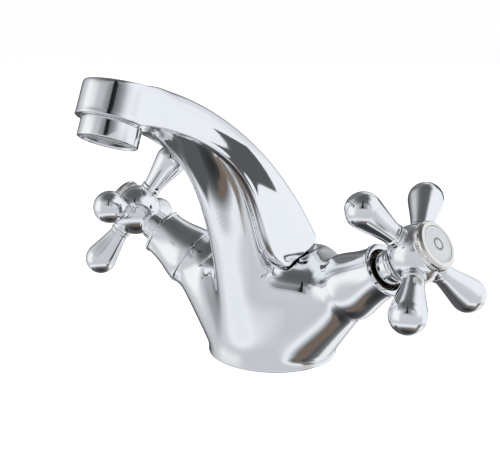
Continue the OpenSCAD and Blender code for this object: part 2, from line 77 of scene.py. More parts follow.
# How finely round pieces are drawn, how near points are made one, what share of an edge a corner
# takes, and the angle in degrees below which faces are shaded as one
STEPS, FINE_STEPS, ROOM_STEPS, PAD_STEPS = 96, 128, 144, 48
BALL_SEGMENTS, BALL_RINGS = 64, 32
TURNED_MERGE, HOOD_MERGE, CASTING_MERGE = 0.002, 0.0005, 0.01
CORNER_SHARE = 0.48
SMOOTH_ANGLE, CASTING_ANGLE = 35, 32

# Camera, from the photograph's perspective
CAMERA_PLACE = Vector((167.754, -268.029, 119.962)) * MM
CAMERA_AZIMUTH, CAMERA_ELEVATION, CAMERA_ROLL = radians(34.23), radians(12.25), radians(0.67)
CAMERA_LENS, CAMERA_SHIFT_X, CAMERA_SHIFT_Y = 59.4, 0.0119, -0.001


def deselect():
    if bpy.context.mode != "OBJECT":
        bpy.ops.object.mode_set(mode="OBJECT")
    bpy.ops.object.select_all(action="DESELECT")


def new_piece(name):
    """The primitive that was just added, under its own name."""
    piece = bpy.context.view_layer.objects.active
    piece.name = name
    piece.data.name = name
    return piece


def pick(*pieces):
    deselect()
    for piece in pieces:
        piece.select_set(True)
    bpy.context.view_layer.objects.active = pieces[0]


def join(name, *pieces):
    pick(*pieces)
    if len(pieces) > 1:
        bpy.ops.object.join()
    return new_piece(name)


def apply_modifier(piece, kind, **values):
    modifier = piece.modifiers.new(kind.lower(), kind)
    for key, value in values.items():
        setattr(modifier, key, value)
    pick(piece)
    bpy.ops.object.modifier_apply(modifier=modifier.name)


def put(piece, place=Matrix.Identity(4)):
    """Bakes a place into the mesh and leaves the object at the origin."""
    piece.matrix_world = place @ piece.matrix_world
    pick(piece)
    bpy.ops.object.transform_apply(location=True, rotation=True, scale=True)
    return piece


def copy_of(piece, name):
    pick(piece)
    bpy.ops.object.duplicate(linked=False)
    return new_piece(name)


def edit_all(piece):
    """Edit mode, with all of the piece selected."""
    pick(piece)
    bpy.ops.object.mode_set(mode="EDIT")
    bpy.ops.mesh.select_all(action="SELECT")


def smooth(piece, angle=SMOOTH_ANGLE):
    pick(piece)
    bpy.ops.object.shade_smooth_by_angle(angle=radians(angle))
    return piece


def bezier(points, t):
    while len(points) > 1:
        points = [a.lerp(b, t) for a, b in zip(points, points[1:])]
    return points[0]


def rounded(profile, steps=5):
    """Turns the corners of a profile into arcs. Each point is (radius, height, corner radius)."""
    points = []
    for i, (r, z, corner) in enumerate(profile):
        here = Vector((r, z))
        if corner == 0:
            points.append(here)
            continue
        before = Vector(profile[i - 1][:2]) - here
        after = Vector(profile[i + 1][:2]) - here
        reach = corner / tan(before.angle(after) / 2)
        reach = min(reach, CORNER_SHARE * before.length, CORNER_SHARE * after.length)
        start = here + before.normalized() * reach
        end = here + after.normalized() * reach
        points += [bezier([start, here, end], k / steps) for k in range(steps + 1)]
    return points


def turned(name, profile, steps=STEPS):
    """A lathe piece about the Z axis, from a profile of (radius, height) points."""
    deselect()
    bpy.ops.mesh.primitive_plane_add(size=0.1)
    piece = new_piece(name)
    edit_all(piece)
    bpy.ops.mesh.merge(type="CENTER")
    here = profile[0]
    bpy.ops.transform.translate(value=(here[0], 0, here[1]))
    for point in profile[1:]:
        move = (point[0] - here[0], 0, point[1] - here[1])
        bpy.ops.mesh.extrude_vertices_move(TRANSFORM_OT_translate={"value": move})
        here = point
    bpy.ops.mesh.select_all(action="SELECT")
    bpy.ops.mesh.spin(steps=steps, angle=2 * pi, center=(0, 0, 0), axis=(0, 0, 1))
    bpy.ops.mesh.select_all(action="SELECT")
    bpy.ops.mesh.remove_doubles(threshold=TURNED_MERGE)
    bpy.ops.mesh.normals_make_consistent(inside=False)
    bpy.ops.object.mode_set(mode="OBJECT")
    return piece


def drawn(name, mesh):
    """The piece that a skin drawn point by point becomes."""
    bmesh.ops.recalc_face_normals(mesh, faces=mesh.faces)
    data = bpy.data.meshes.new(name)
    mesh.to_mesh(data)
    mesh.free()
    piece = bpy.data.objects.new(name, data)
    bpy.context.scene.collection.objects.link(piece)
    return piece


def lofted(name, rings):
    """A closed skin through rings of points, for a swept form no primitive gives."""
    mesh = bmesh.new()
    loops = [[mesh.verts.new(point) for point in ring] for ring in rings]
    for low, high in zip(loops, loops[1:]):
        for k in range(len(low)):
            n = (k + 1) % len(low)
            mesh.faces.new((low[k], low[n], high[n], high[k]))
    mesh.faces.new(loops[0])
    mesh.faces.new(loops[-1])
    return drawn(name, mesh)


def valve_place(side, turn=0.0):
    """The place on a valve axis, +Z outwards: side 1 is cold, -1 is hot."""
    splay = -VALVE_SPLAY if side > 0 else pi + VALVE_SPLAY
    return (Matrix.Translation((0, VALVE_Y, VALVE_Z))
            @ Matrix.Rotation(splay, 4, "Z")
            @ Matrix.Rotation(pi / 2 - VALVE_RISE, 4, "Y")
            @ Matrix.Rotation(side * turn, 4, "Z"))


def handle_place(side):
    return valve_place(side, COLD_ANGLE if side > 0 else HOT_ANGLE)


def nose_place():
    return Matrix.Translation((0, -REACH, RIM_Z)) @ Matrix.Rotation(-NOSE_TILT, 4, "X")


TO_METRES = Matrix.Scale(MM, 4)


# Spout curves in the plane x = 0, as shares of the reach and the rim's height
def swan(a, b):
    return Vector((0, -a * REACH, b * RIM_Z))


RIM = swan(1, 1)
UP = Vector((0, sin(NOSE_TILT), cos(NOSE_TILT)))
BACK = Vector((0, cos(NOSE_TILT), -sin(NOSE_TILT)))
TOP = RIM + UP * NOSE_H
BAND_CROWN = [TOP, swan(0.948, 1.109), swan(0.428, 1.142), swan(-0.11, 0.634),
              swan(-0.126, 0.61), swan(-0.237, 0.468)]
BAND_EDGE = [RIM, swan(0.731, 0.976), swan(0.322, 0.83), swan(0.326, 0.666),
             swan(0.33, 0.461), swan(0.162, 0.407)]
NECK_FRONT = [RIM + BACK * 8 + UP * 0.5, swan(0.581, 0.943), swan(0.387, 0.71),
              swan(0.475, 0.569), swan(0.35, 0.345), Vector((0, 1 - FOOT_R, FOOT_H - 1))]
NECK_REAR = [TOP + BACK * 6 - UP * 3.2, swan(0.6, 1.08), swan(0.2, 0.737),
             swan(-0.02, 0.72), swan(-0.3, 0.48), Vector((0, FOOT_R - 1, FOOT_H - 1))]

# The radius of the lip, and how the tongue's tip and then its end round off, over shares of the band
LIP_R = 0.45
TIP_R, TIP_LEN = 3.0, 0.038
END_R, END_LEN = 0.6, 0.0075

# The band's half widths, and how its lip and its section change on the way from the nose to the tongue.
# A section's power is how square it is.
BAND_WIDTHS = [NOSE_R, NOSE_R, NOSE_R + 0.8, BAND_W, TONGUE_W]
LIP_GROWS = 0.05, 0.5
LIP_FLARE, FLARE_MORE = 0.2, 0.7
LIP_DEPTH, DEPTH_MORE = 1, 1.6
BAND_POWER, POWER_DROP, DROP_RATE = 5, 2.2, 1.5
NOSE_POWER, NEAR_NOSE_MORE, NEAR_NOSE = 20, 17, 0.24

# How many steps the hood's skin has: in a section, and from section to section
RISE_STEPS, UNDER_STEPS, LIP_STEPS, SIDE_STEPS = 80, 8, 6, 46
BAND_STEPS, TIP_STEPS, END_STEPS, NOSE_STEPS, DIGITS = 140, 16, 6, 90, 6

# The neck widens a little all the way, and flares just above the foot
NECK_WIDER, FLARE_SHORT, FLARE_BEND = 0.6, 2, 7
NECK_POWER, NECK_POWER_DROP = 2.5, 0.5
NECK_SPARE, NECK_STEPS = 0.04, 115


def squared(value, power):
    """A rounded section: 2 is an ellipse, and a higher power is squarer."""
    return (1 if value > 0 else -1) * abs(value) ** (2 / power)


def ramp(value, low, high):
    t = min(1, max(0, (value - low) / (high - low)))
    return t * t * (3 - 2 * t)


def band_half(t):
    return bezier([Vector((w, 0)) for w in BAND_WIDTHS], t).x


def lip_flare(t):
    return LIP_FLARE + FLARE_MORE * ramp(t, *LIP_GROWS)


def lip_depth(t):
    return LIP_DEPTH + DEPTH_MORE * ramp(t, *LIP_GROWS)


def band_power(t):
    near_nose = NEAR_NOSE_MORE * (1 - ramp(t, 0, NEAR_NOSE)) ** 2
    return BAND_POWER - POWER_DROP * min(1, DROP_RATE * t) + near_nose


def spread(line, count, bend=8):
    """The same line with its points gathered where it turns."""
    run = [0]
    for k in range(1, len(line)):
        step = line[k] - line[k - 1]
        turn = step.angle(line[k - 1] - line[k - 2]) if k > 1 else 0
        run.append(run[-1] + step.length + bend * turn)
    points = []
    k = 0
    for n in range(count):
        want = run[-1] * n / (count - 1)
        while k < len(run) - 2 and run[k + 1] < want:
            k += 1
        points.append(line[k].lerp(line[k + 1], (want - run[k]) / (run[k + 1] - run[k])))
    return points


def half_section(half, tall, power, flare, depth):
    """From the middle of the underside, round the lip and up the side to the crown, as (x, height)."""
    corner = 0.5 ** (1 / power)
    rise = [corner * k / RISE_STEPS for k in range(RISE_STEPS + 1)]
    line = [((1 - h ** power) ** (1 / power), h) for h in rise]
    line += [(x, (1 - x ** power) ** (1 / power)) for x in reversed(rise[:-1])]
    line = [Vector((x * half + flare * exp(-(h * tall / depth) ** 2), h * tall)) for x, h in line]
    side = [point for point in line if point.y > LIP_R]
    wide = side[0].x
    points = [Vector(((wide - LIP_R) * k / UNDER_STEPS, 0)) for k in range(UNDER_STEPS)]
    points += [Vector((wide - LIP_R + LIP_R * sin(a), LIP_R - LIP_R * cos(a)))
               for a in (pi / 2 * k / LIP_STEPS for k in range(LIP_STEPS + 1))]
    return points + spread(side, SIDE_STEPS)[1:]


def band_section(t):
    """One half of the band's section, in space, on the side of +X."""
    edge, crown = bezier(BAND_EDGE, t), bezier(BAND_CROWN, t)
    tall = (crown - edge).length
    upward = (crown - edge) / tall
    into = max(0, (t - 1 + TIP_LEN) / TIP_LEN)
    lift = TIP_R * (1 - sqrt(1 - into * into))
    last = max(0, (t - 1 + END_LEN) / END_LEN)
    inset = END_R * (1 - sqrt(1 - last * last))
    points = []
    for x, h in half_section(band_half(t), tall, band_power(t), lip_flare(t), lip_depth(t)):
        h = lift + h * (1 - lift / tall)
        x *= 1 - inset / BAND_W
        h += inset * (1 - 2 * h / tall)
        points.append(Vector((x, 0, 0)) + edge + upward * h)
    return points


def nose_section(angle):
    """The nose's profile at an angle round its axis, which goes on from the band's first section."""
    points = []
    for r, z in half_section(NOSE_R, NOSE_H, NOSE_POWER, lip_flare(0), lip_depth(0)):
        slope = 1 + tan(NOSE_RISE) * r * sin(angle) / NOSE_H
        points.append(nose_place() @ Vector((r * cos(angle), r * sin(angle), z * slope)))
    return points


def make_hood():
    """The nose and the band behind it, as one skin."""
    steps = [k / BAND_STEPS * (1 - TIP_LEN) for k in range(1, BAND_STEPS + 1)]
    steps += [1 - TIP_LEN + TIP_LEN * sin(pi / 2 * k / TIP_STEPS) for k in range(1, TIP_STEPS + 1)]
    steps += [1 - END_LEN * (1 - sin(pi / 2 * k / END_STEPS)) for k in range(END_STEPS)]
    steps = sorted(set(round(t, DIGITS) for t in steps))
    near = [band_section(t) for t in steps]
    far = [[Vector((-p.x, p.y, p.z)) for p in section] for section in near]
    front = [nose_section(-pi * k / NOSE_STEPS) for k in range(NOSE_STEPS + 1)]
    columns = near[::-1] + front + far
    mesh = bmesh.new()
    grid = [[mesh.verts.new(p) for p in column] for column in columns]
    for a, b in zip(grid, grid[1:]):
        for k in range(len(a) - 1):
            mesh.faces.new((a[k], b[k], b[k + 1], a[k + 1]))
    bmesh.ops.remove_doubles(mesh, verts=mesh.verts, dist=HOOD_MERGE)
    bmesh.ops.holes_fill(mesh, edges=[edge for edge in mesh.edges if edge.is_boundary])
    return drawn("hood", mesh)


def neck_ring(t, inset=0.0, points=STEPS):
    """The neck's section, in space: t is 0 at the nose and 1 at the foot."""
    front, rear = bezier(NECK_FRONT, t), bezier(NECK_REAR, t)
    middle, half = (front + rear) / 2, (rear - front) / 2
    half -= half.normalized() * inset
    flare = (FOOT_R - NECK_W - FLARE_SHORT) * t ** FLARE_BEND
    wide = NECK_W + NECK_WIDER * t + flare - inset
    power = NECK_POWER - NECK_POWER_DROP * t
    return [middle + half * squared(sin(a), power) + Vector((wide * squared(cos(a), power), 0, 0))
            for a in (2 * pi * k / points for k in range(points))]


def cylinder(name, r, low, high, place=Matrix.Identity(4)):
    deselect()
    bpy.ops.mesh.primitive_cylinder_add(
        vertices=STEPS, radius=r, depth=high - low, location=(0, 0, (low + high) / 2))
    return put(new_piece(name), place)


def ball(name, r, centre):
    deselect()
    bpy.ops.mesh.primitive_uv_sphere_add(
        segments=BALL_SEGMENTS, ring_count=BALL_RINGS, radius=r, location=centre)
    return put(new_piece(name))


def wrapped(name, *pieces):
    """One convex form drawn around several."""
    piece = join(name, *pieces)
    edit_all(piece)
    bpy.ops.mesh.convex_hull()
    bpy.ops.object.mode_set(mode="OBJECT")
    return piece


# The trunk's parts: how far its ends go beyond the casting, and where its hulls begin and end
SPARE, ARM_ROOT, STUMP_RISE = 9.0, 12, 2
END_LOW, END_HIGH = 6, 3.5
ARM_STUMP_IN, WEB_STUMP_IN = 1.6, 2
WEB_OUT, WEB_UP, WEB_END = 1.8, 2.8, 1

# How it is smoothed, and where that fades: at the arms' ends, above the foot and under the spout
VOXEL, FINE_VOXEL, SOFTNESS = 0.8, 0.7, 0.5
SOFT_ROUNDS, LAST_ROUNDS = 130, 12
ARM_FADE, FOOT_FADE, SPOUT_FADE = (9, 2.5), (0.5, 9), (50, 64)

# The room behind the hood's lip and under its end, and the neck that is set back in it
LIP_GAP, END_GAP = 0.2, 0.9
ROOM_SIDES = (-TONGUE_W - 5, 4), (-TONGUE_W - 1, 0), (TONGUE_W + 1, 0), (TONGUE_W + 5, 4)
ROOM_START, ROOM_LEN, ROOM_RUNGS, ROOM_BACK, ROOM_TOP = 0.3, 0.7, 24, 40, 120
INSET, INSET_MORE, INSET_GROWS, INSET_END = 0.4, 4, (0.3, 0.6), 0.8

# Points near the arms' ends and the foot's side that go back to their true radius
TRUE_NEAR, TRUE_FOOT, AXIS_R = (0.8, 2.4), (0.5, 6), 1
TRUE_LOW, TRUE_FULL, TRUE_HIGH = 4, 1, 3


def combine(piece, tool, operation):
    modifier = piece.modifiers.new("combine", "BOOLEAN")
    modifier.operation = operation
    modifier.object = tool
    modifier.solver = "EXACT"
    pick(piece)
    bpy.ops.object.modifier_apply(modifier=modifier.name)
    bpy.data.objects.remove(tool)


def soften(trunk, rounds):
    """Smooths the trunk where its parts meet, but not the spout, the arms' ends or the foot."""
    group = trunk.vertex_groups.new(name="soft")
    back = [valve_place(side).inverted() for side in (1, -1)]
    for vert in trunk.data.vertices:
        along = max((place @ vert.co).z for place in back)
        weight = 1 - ramp(along, ARM_LEN - ARM_FADE[0], ARM_LEN - ARM_FADE[1])
        weight *= ramp(vert.co.z, *FOOT_FADE) * (1 - ramp(vert.co.z, *SPOUT_FADE))
        group.add([vert.index], weight, "REPLACE")
    apply_modifier(trunk, "SMOOTH", factor=SOFTNESS, iterations=rounds, vertex_group="soft")


def hood_room():
    """What is cut off the trunk behind the hood's lip and under its end. The hood stands proud of it."""
    end = band_section(1)
    slope = (end[-1].z - end[0].z) / (end[-1].y - end[0].y)
    rings = []
    for x, rise in ROOM_SIDES:
        ring = []
        for k in range(ROOM_RUNGS + 1):
            t = ROOM_START + ROOM_LEN * k / ROOM_RUNGS
            edge, crown = bezier(BAND_EDGE, t), bezier(BAND_CROWN, t)
            ring.append(edge + (edge - crown).normalized() * (LIP_GAP - rise))
        ring[-1].z += rise - END_GAP
        behind = Vector((0, ROOM_BACK, ring[-1].z + (ROOM_BACK - ring[-1].y) * slope))
        ring += [behind, Vector((0, ROOM_BACK, ROOM_TOP)), Vector((0, ring[0].y, ROOM_TOP))]
        rings.append([point + Vector((x, 0, 0)) for point in ring])
    return lofted("room", rings)


def make_neck(inset=0.0, end=1.0):
    """The neck, from a little inside the nose. An inset makes it slimmer, most of all low down."""
    steps = [-NECK_SPARE + (end + NECK_SPARE) * k / NECK_STEPS for k in range(NECK_STEPS + 1)]
    rings = [neck_ring(t, inset * (1 + INSET_MORE * ramp(t, *INSET_GROWS))) for t in steps]
    return lofted("neck", rings)


def true_arms(trunk):
    """Puts the arms' ends back to their true radius."""
    for side in (1, -1):
        place = valve_place(side)
        back = place.inverted()
        for vert in trunk.data.vertices:
            here = back @ vert.co
            out = here.to_2d().length
            if ARM_LEN - TRUE_LOW < here.z < ARM_LEN + TRUE_HIGH and out > AXIS_R:
                share = ramp(here.z, ARM_LEN - TRUE_LOW, ARM_LEN - TRUE_FULL)
                share *= 1 - ramp(abs(out - ARM_D / 2), *TRUE_NEAR)
                grow = 1 + (ARM_D / 2 / out - 1) * share
                vert.co = place @ Vector((here.x * grow, here.y * grow, here.z))


def true_foot(trunk):
    """Puts the foot's side back to its true radius."""
    for vert in trunk.data.vertices:
        out = vert.co.to_2d().length
        share = (1 - ramp(vert.co.z, *TRUE_FOOT)) * (1 - ramp(abs(out - FOOT_R), *TRUE_NEAR))
        vert.co.xy *= 1 + (FOOT_R / out - 1) * share if out > AXIS_R else 1


def make_trunk():
    """The neck, the arms and their webs, with broad fillets where they meet."""
    stump_top = FOOT_H + STUMP_RISE
    parts = [make_neck()]
    for side in (1, -1):
        end = cylinder("end", ARM_D / 2, ARM_LEN - END_LOW, ARM_LEN - END_HIGH, valve_place(side))
        stump = cylinder("stump", FOOT_R - ARM_STUMP_IN, 0, stump_top)
        x, y, z = SHOULDER_PLACE
        parts.append(cylinder("end", ARM_D / 2, ARM_LEN - ARM_ROOT, ARM_LEN + SPARE, valve_place(side)))
        parts.append(wrapped("arm", end, stump, ball("shoulder", SHOULDER_R, (side * x, y, z))))
        stump = cylinder("stump", FOOT_R - WEB_STUMP_IN, 0, stump_top)
        front = ball("front", WEB_R, (0, -WEB_R * WEB_OUT, WEB_R * WEB_UP))
        inner = ball("inner", WEB_R, valve_place(side) @ Vector((0, 0, ARM_LEN - WEB_R - WEB_END)))
        parts.append(wrapped("web", stump, front, inner))
    parts.append(cylinder("stump", FOOT_R, -SPARE, stump_top))
    trunk = join("trunk", *parts)
    apply_modifier(trunk, "REMESH", mode="VOXEL", voxel_size=VOXEL)
    soften(trunk, SOFT_ROUNDS)
    combine(trunk, hood_room(), "DIFFERENCE")
    trunk = join("trunk", trunk, make_neck(INSET, INSET_END))
    apply_modifier(trunk, "REMESH", mode="VOXEL", voxel_size=FINE_VOXEL)
    apply_modifier(trunk, "SMOOTH", factor=SOFTNESS, iterations=LAST_ROUNDS)
    true_arms(trunk)
    true_foot(trunk)
    return trunk


def make_casting():
    """The trunk cut to its ends and to the foot's edge, with the hood on and the bores through."""
    casting = join("casting", make_trunk())
    for side in (1, -1):
        beyond = cylinder("tool", ARM_D, ARM_LEN, ARM_LEN + 2 * SPARE, valve_place(side))
        combine(casting, beyond, "DIFFERENCE")
    edge, ledge, wide, tall = FOOT_EDGE, FOOT_R + 4, 3 * FOOT_R, 2 * RIM_Z
    room = [(0, 0, 0), (FOOT_R, 0, edge), (FOOT_R, 2 * edge, 0), (ledge, 4 * edge, 0),
            (wide, 4 * edge, 0), (wide, tall, 0), (0, tall, 0)]
    combine(casting, turned("room", rounded(room), ROOM_STEPS), "INTERSECT")
    combine(casting, make_hood(), "UNION")
    tools = [cylinder("tool", INLET_R, -1, INLET_DEPTH, Matrix.Translation((x, INLET_Y, 0)))
             for x in (INLET_X, -INLET_X)]
    tools.append(cylinder("tool", STUD_R, -1, STUD_DEPTH, Matrix.Translation((0, -STUD_Y, 0))))
    tools.append(turned("tool", [(SEAL_IN, -1), (SEAL_OUT, -1), (SEAL_OUT, SEAL_T), (SEAL_IN, SEAL_T),
                                 (SEAL_IN, -1)]))
    tools.append(cylinder("tool", AER_R + AER_PLAY, -AER_DROP - 1, AER_RECESS, nose_place()))
    combine(casting, join("cutter", *tools), "DIFFERENCE")
    edit_all(casting)
    bpy.ops.mesh.remove_doubles(threshold=CASTING_MERGE)
    bpy.ops.mesh.dissolve_degenerate(threshold=CASTING_MERGE)
    bpy.ops.object.mode_set(mode="OBJECT")
    return smooth(put(casting, TO_METRES), CASTING_ANGLE)


# Steps in the curves of the turned pieces
BELL_STEPS, HUB_STEPS, PEAR_STEPS, BALL_STEPS = 16, 40, 20, 36


def make_sleeve():
    """A bell whose skirt curves in to a bead, with a step inside its top."""
    wide, narrow, wall, low, top = SLEEVE_WIDE, SLEEVE_NARROW, SLEEVE_WALL, 0.1, SLEEVE_LEN - 0.1
    skirt, neck, shoulder, bead = 0.9, narrow - 0.1, top - 1.6, narrow + 0.25
    bell = [Vector(p) for p in ((wide, skirt), (wide - 0.2, 5), (narrow + 0.1, 9), (neck, shoulder))]
    outer = [bezier(bell, k / BELL_STEPS) for k in range(BELL_STEPS + 1)]
    inner = [Vector((p.x - wall, p.y)) for p in reversed(outer)]
    profile = rounded([(wide - wall, low, 0), (wide, low, 0.35), (wide, skirt, 0)])
    profile += outer
    profile += rounded([(neck, shoulder, 0), (bead, top - 1.3, 0.15), (bead, top - 0.1, 0.4),
                        (narrow - 1.9, top - 0.1, 0.4), (narrow - 2, top - 2.2, 0.1),
                        (neck - wall, top - 3.2, 0)])
    profile += inner[2:]
    profile.append(Vector((wide - wall, low)))
    return turned("sleeve", profile, FINE_STEPS)


def make_hub():
    """The handle's ball, with a stem under it, a collar for the cap and four pads for the arms."""
    seat = sqrt(HUB_R ** 2 - COLLAR_R ** 2)
    foot = -sqrt(HUB_R ** 2 - STEM_R ** 2)
    low, groove_r, cap_low = STEM_LOW - HUB_S, STEM_R - 0.35, CAP_S - CAP_H
    profile = rounded([(HUB_BORE, low, 0), (STEM_R, low, 0.4), (STEM_R, foot - 2.0, 0.3),
                       (groove_r, foot - 1.7, 0.2), (groove_r, foot - 0.7, 0)])
    start, end = asin((foot + 0.1) / HUB_R), asin(seat / HUB_R)
    arc = [start + (end - start) * k / HUB_STEPS for k in range(HUB_STEPS + 1)]
    profile += [Vector((HUB_R * cos(a), HUB_R * sin(a))) for a in arc]
    profile += rounded([(COLLAR_R, seat, 0), (COLLAR_R, cap_low, 0.1), (COLLAR_BORE, cap_low, 0)])
    parts = [turned("hub", profile, FINE_STEPS)]
    pad_r, pad_top = ARM_ROOT_R + 0.35, HUB_R + 0.2
    pad_profile = [(0, PAD_LOW, 0), (pad_r, PAD_LOW, 0), (pad_r, pad_top, 0.25), (0, pad_top, 0)]
    for k in range(4):
        pad = turned("pad", rounded(pad_profile), PAD_STEPS)
        parts.append(put(pad, Matrix.Rotation(k * pi / 2, 4, "Z") @ Matrix.Rotation(pi / 2, 4, "Y")))
    return join("hub", *parts)


def make_arm():
    """A pear on a ringed root, drawn upright from the middle of the hub."""
    root, tip = HUB_R + 0.25, ARM_REACH - 1.3
    r_tip = sqrt(BALL_R ** 2 - (ARM_REACH - tip) ** 2)
    neck = (ARM_ROOT_R + 0.1, root + 2.4)
    profile = rounded([(0, root, 0), (ARM_ROOT_R + 0.3, root, 0.25),
                       (ARM_ROOT_R + 0.45, root + 1.2, 0.35), (ARM_ROOT_R - 0.1, root + 1.6, 0.2),
                       (*neck, 0)])
    side = [Vector(p) for p in (neck, (4.5, 17.4), (5.5, 20.6), (r_tip, tip))]
    profile += [bezier(side, k / PEAR_STEPS) for k in range(1, PEAR_STEPS + 1)]
    start = -asin((ARM_REACH - tip) / BALL_R)
    arc = [start + (pi / 2 - start) * k / BALL_STEPS for k in range(1, BALL_STEPS + 1)]
    profile += [Vector((BALL_R * cos(a), ARM_REACH + BALL_R * sin(a))) for a in arc]
    return turned("arm", profile)


def make_cap():
    """A knurled band under a turned rim, which leaves room for the index disc."""
    high, low = CAP_S, CAP_S - CAP_H
    deselect()
    bpy.ops.mesh.primitive_circle_add(
        vertices=4 * KNURLS, radius=CAP_R - KNURL_DEPTH, fill_type="NOTHING", location=(0, 0, low))
    knurl = put(new_piece("knurl"))
    edit_all(knurl)
    edge = KNURL_EDGE
    for rise, grow in ((edge, 0), (KNURL_H - 2 * edge, 0), (edge, -2 * edge)):
        bpy.ops.mesh.extrude_region_move(TRANSFORM_OT_translate={"value": (0, 0, rise)})
        k = 1 + grow / CAP_R
        bpy.ops.transform.resize(value=(k, k, 1), center_override=(0, 0, 0))
    mesh = bmesh.from_edit_mesh(knurl.data)
    for vert in mesh.verts:
        wave = 0.5 + 0.5 * cos(KNURLS * vert.co.to_2d().angle_signed(Vector((1, 0))))
        inside = low + 0.1 < vert.co.z < low + KNURL_H - 0.05
        out = KNURL_DEPTH * wave if inside else 0
        vert.co.xy *= 1 + out / (CAP_R - KNURL_DEPTH)
    bmesh.update_edit_mesh(knurl.data)
    bpy.ops.object.mode_set(mode="OBJECT")
    side, seat = CAP_R - 0.05, high - INDEX_T
    rim = turned("rim", rounded([
        (CAP_BORE, low, 0), (CAP_R - 0.4, low, 0), (CAP_R - 0.5, low + KNURL_H - 0.1, 0),
        (side, low + KNURL_H + 0.05, 0.15), (side, high - 0.9, 0.35), (CAP_R - 0.9, high - 0.05, 0.4),
        (INDEX_R + 0.12, high, 0.2), (INDEX_R + 0.1, seat, 0), (CAP_BORE, seat, 0)]), FINE_STEPS)
    return join("cap", rim, knurl)


def make_index():
    """A dished disc. Its mark is a plain ring-shaped groove, between MARK_IN and MARK_OUT."""
    high, low = CAP_S, CAP_S - INDEX_T + 0.02
    dish = rounded([
        (0, low, 0), (INDEX_R, low, 0), (INDEX_R, high - 0.12, 0.2),
        (INDEX_R - 0.45, high - 0.06, 0.15), (INDEX_R - 0.7, high - 0.2, 0.15),
        (INDEX_R - 1.1, high - 0.18, 0.1), (MARK_OUT, high - 0.08, 0.1), (2.1, high - 0.16, 0.05),
        (1.75, high - 0.16, 0.05), (MARK_IN, high - 0.07, 0.1), (0, high - 0.06, 0)])
    return turned("index", dish)


def make_aerator():
    """The outlet's collar, with its thread's shank above and a step inside for the screen."""
    inner, wall_in, step = AER_R - 2 * AER_WALL, AER_R - AER_WALL, -AER_DROP + MESH_SEAT
    profile = rounded([
        (inner, AER_TOP, 0), (AER_SHANK_R, AER_TOP, 0.2), (AER_SHANK_R, AER_GROOVE, 0),
        (AER_R - 0.25, AER_GROOVE, 0.2), (AER_R - 0.25, -AER_GROOVE, 0.1), (AER_R, -0.6, 0.2),
        (AER_R, -AER_DROP, 0.45), (wall_in + 0.2, -AER_DROP, 0.3), (wall_in, -AER_DROP + 0.6, 0.2),
        (wall_in, step, 0), (inner, step, 0), (inner, AER_TOP, 0)])
    return put(turned("aerator_collar", profile, FINE_STEPS), nose_place())


def make_mesh_screen():
    """Crossed wires over the outlet, cut to a round edge."""
    r = AER_R - AER_WALL - SCREEN_PLAY
    pitch = WIRE_PITCH
    count = int(2 * r / pitch) + 2
    deselect()
    bpy.ops.mesh.primitive_grid_add(x_subdivisions=count, y_subdivisions=count, size=count * pitch)
    screen = new_piece("screen")
    bpy.ops.object.mode_set(mode="EDIT")
    bpy.ops.mesh.select_all(action="DESELECT")
    mesh = bmesh.from_edit_mesh(screen.data)
    cut, edge = r + 0.3 * pitch, r - 0.25
    for vert in mesh.verts:
        vert.select = vert.co.to_2d().length > cut
        if edge < vert.co.to_2d().length <= cut:
            vert.co.xy *= edge / vert.co.to_2d().length
    mesh.select_flush_mode()
    bpy.ops.mesh.delete(type="VERT")
    bpy.ops.object.mode_set(mode="OBJECT")
    apply_modifier(screen, "WIREFRAME", thickness=WIRE_T, use_boundary=True, use_even_offset=False)
    ring_in, half = r - RING_W, RING_HALF
    rim = turned("screen_rim", rounded([(ring_in, -half, 0), (r, -half, 0.1), (r, half, 0.1),
                                        (ring_in, half, 0.1), (ring_in, -half, 0)]))
    screen = join("screen", screen, rim)
    return put(screen, nose_place() @ Matrix.Translation((0, 0, -AER_DROP + MESH_SEAT - SCREEN_DROP)))


# Materials
CLOUD_SCALE, WAVE_SCALE, WAVE_HEIGHT = 60.0, 400.0, 0.02


def material(name, color, metallic, roughness, **more):
    made = bpy.data.materials.new(name)
    made.use_nodes = True
    shader = made.node_tree.nodes["Principled BSDF"]
    shader.inputs["Base Color"].default_value = (*color, 1)
    shader.inputs["Metallic"].default_value = metallic
    shader.inputs["Roughness"].default_value = roughness
    for key, value in more.items():
        shader.inputs[key.replace("_", " ")].default_value = value
    return made, made.node_tree, shader


def group_tree(name, inputs, outputs):
    tree = bpy.data.node_groups.new(name, "ShaderNodeTree")
    for label, kind, value in inputs:
        made = tree.interface.new_socket(name=label, in_out="INPUT", socket_type=kind)
        if value is not None:
            made.default_value = value
    for label, kind in outputs:
        tree.interface.new_socket(name=label, in_out="OUTPUT", socket_type=kind)
    return tree, tree.nodes.new("NodeGroupInput"), tree.nodes.new("NodeGroupOutput")


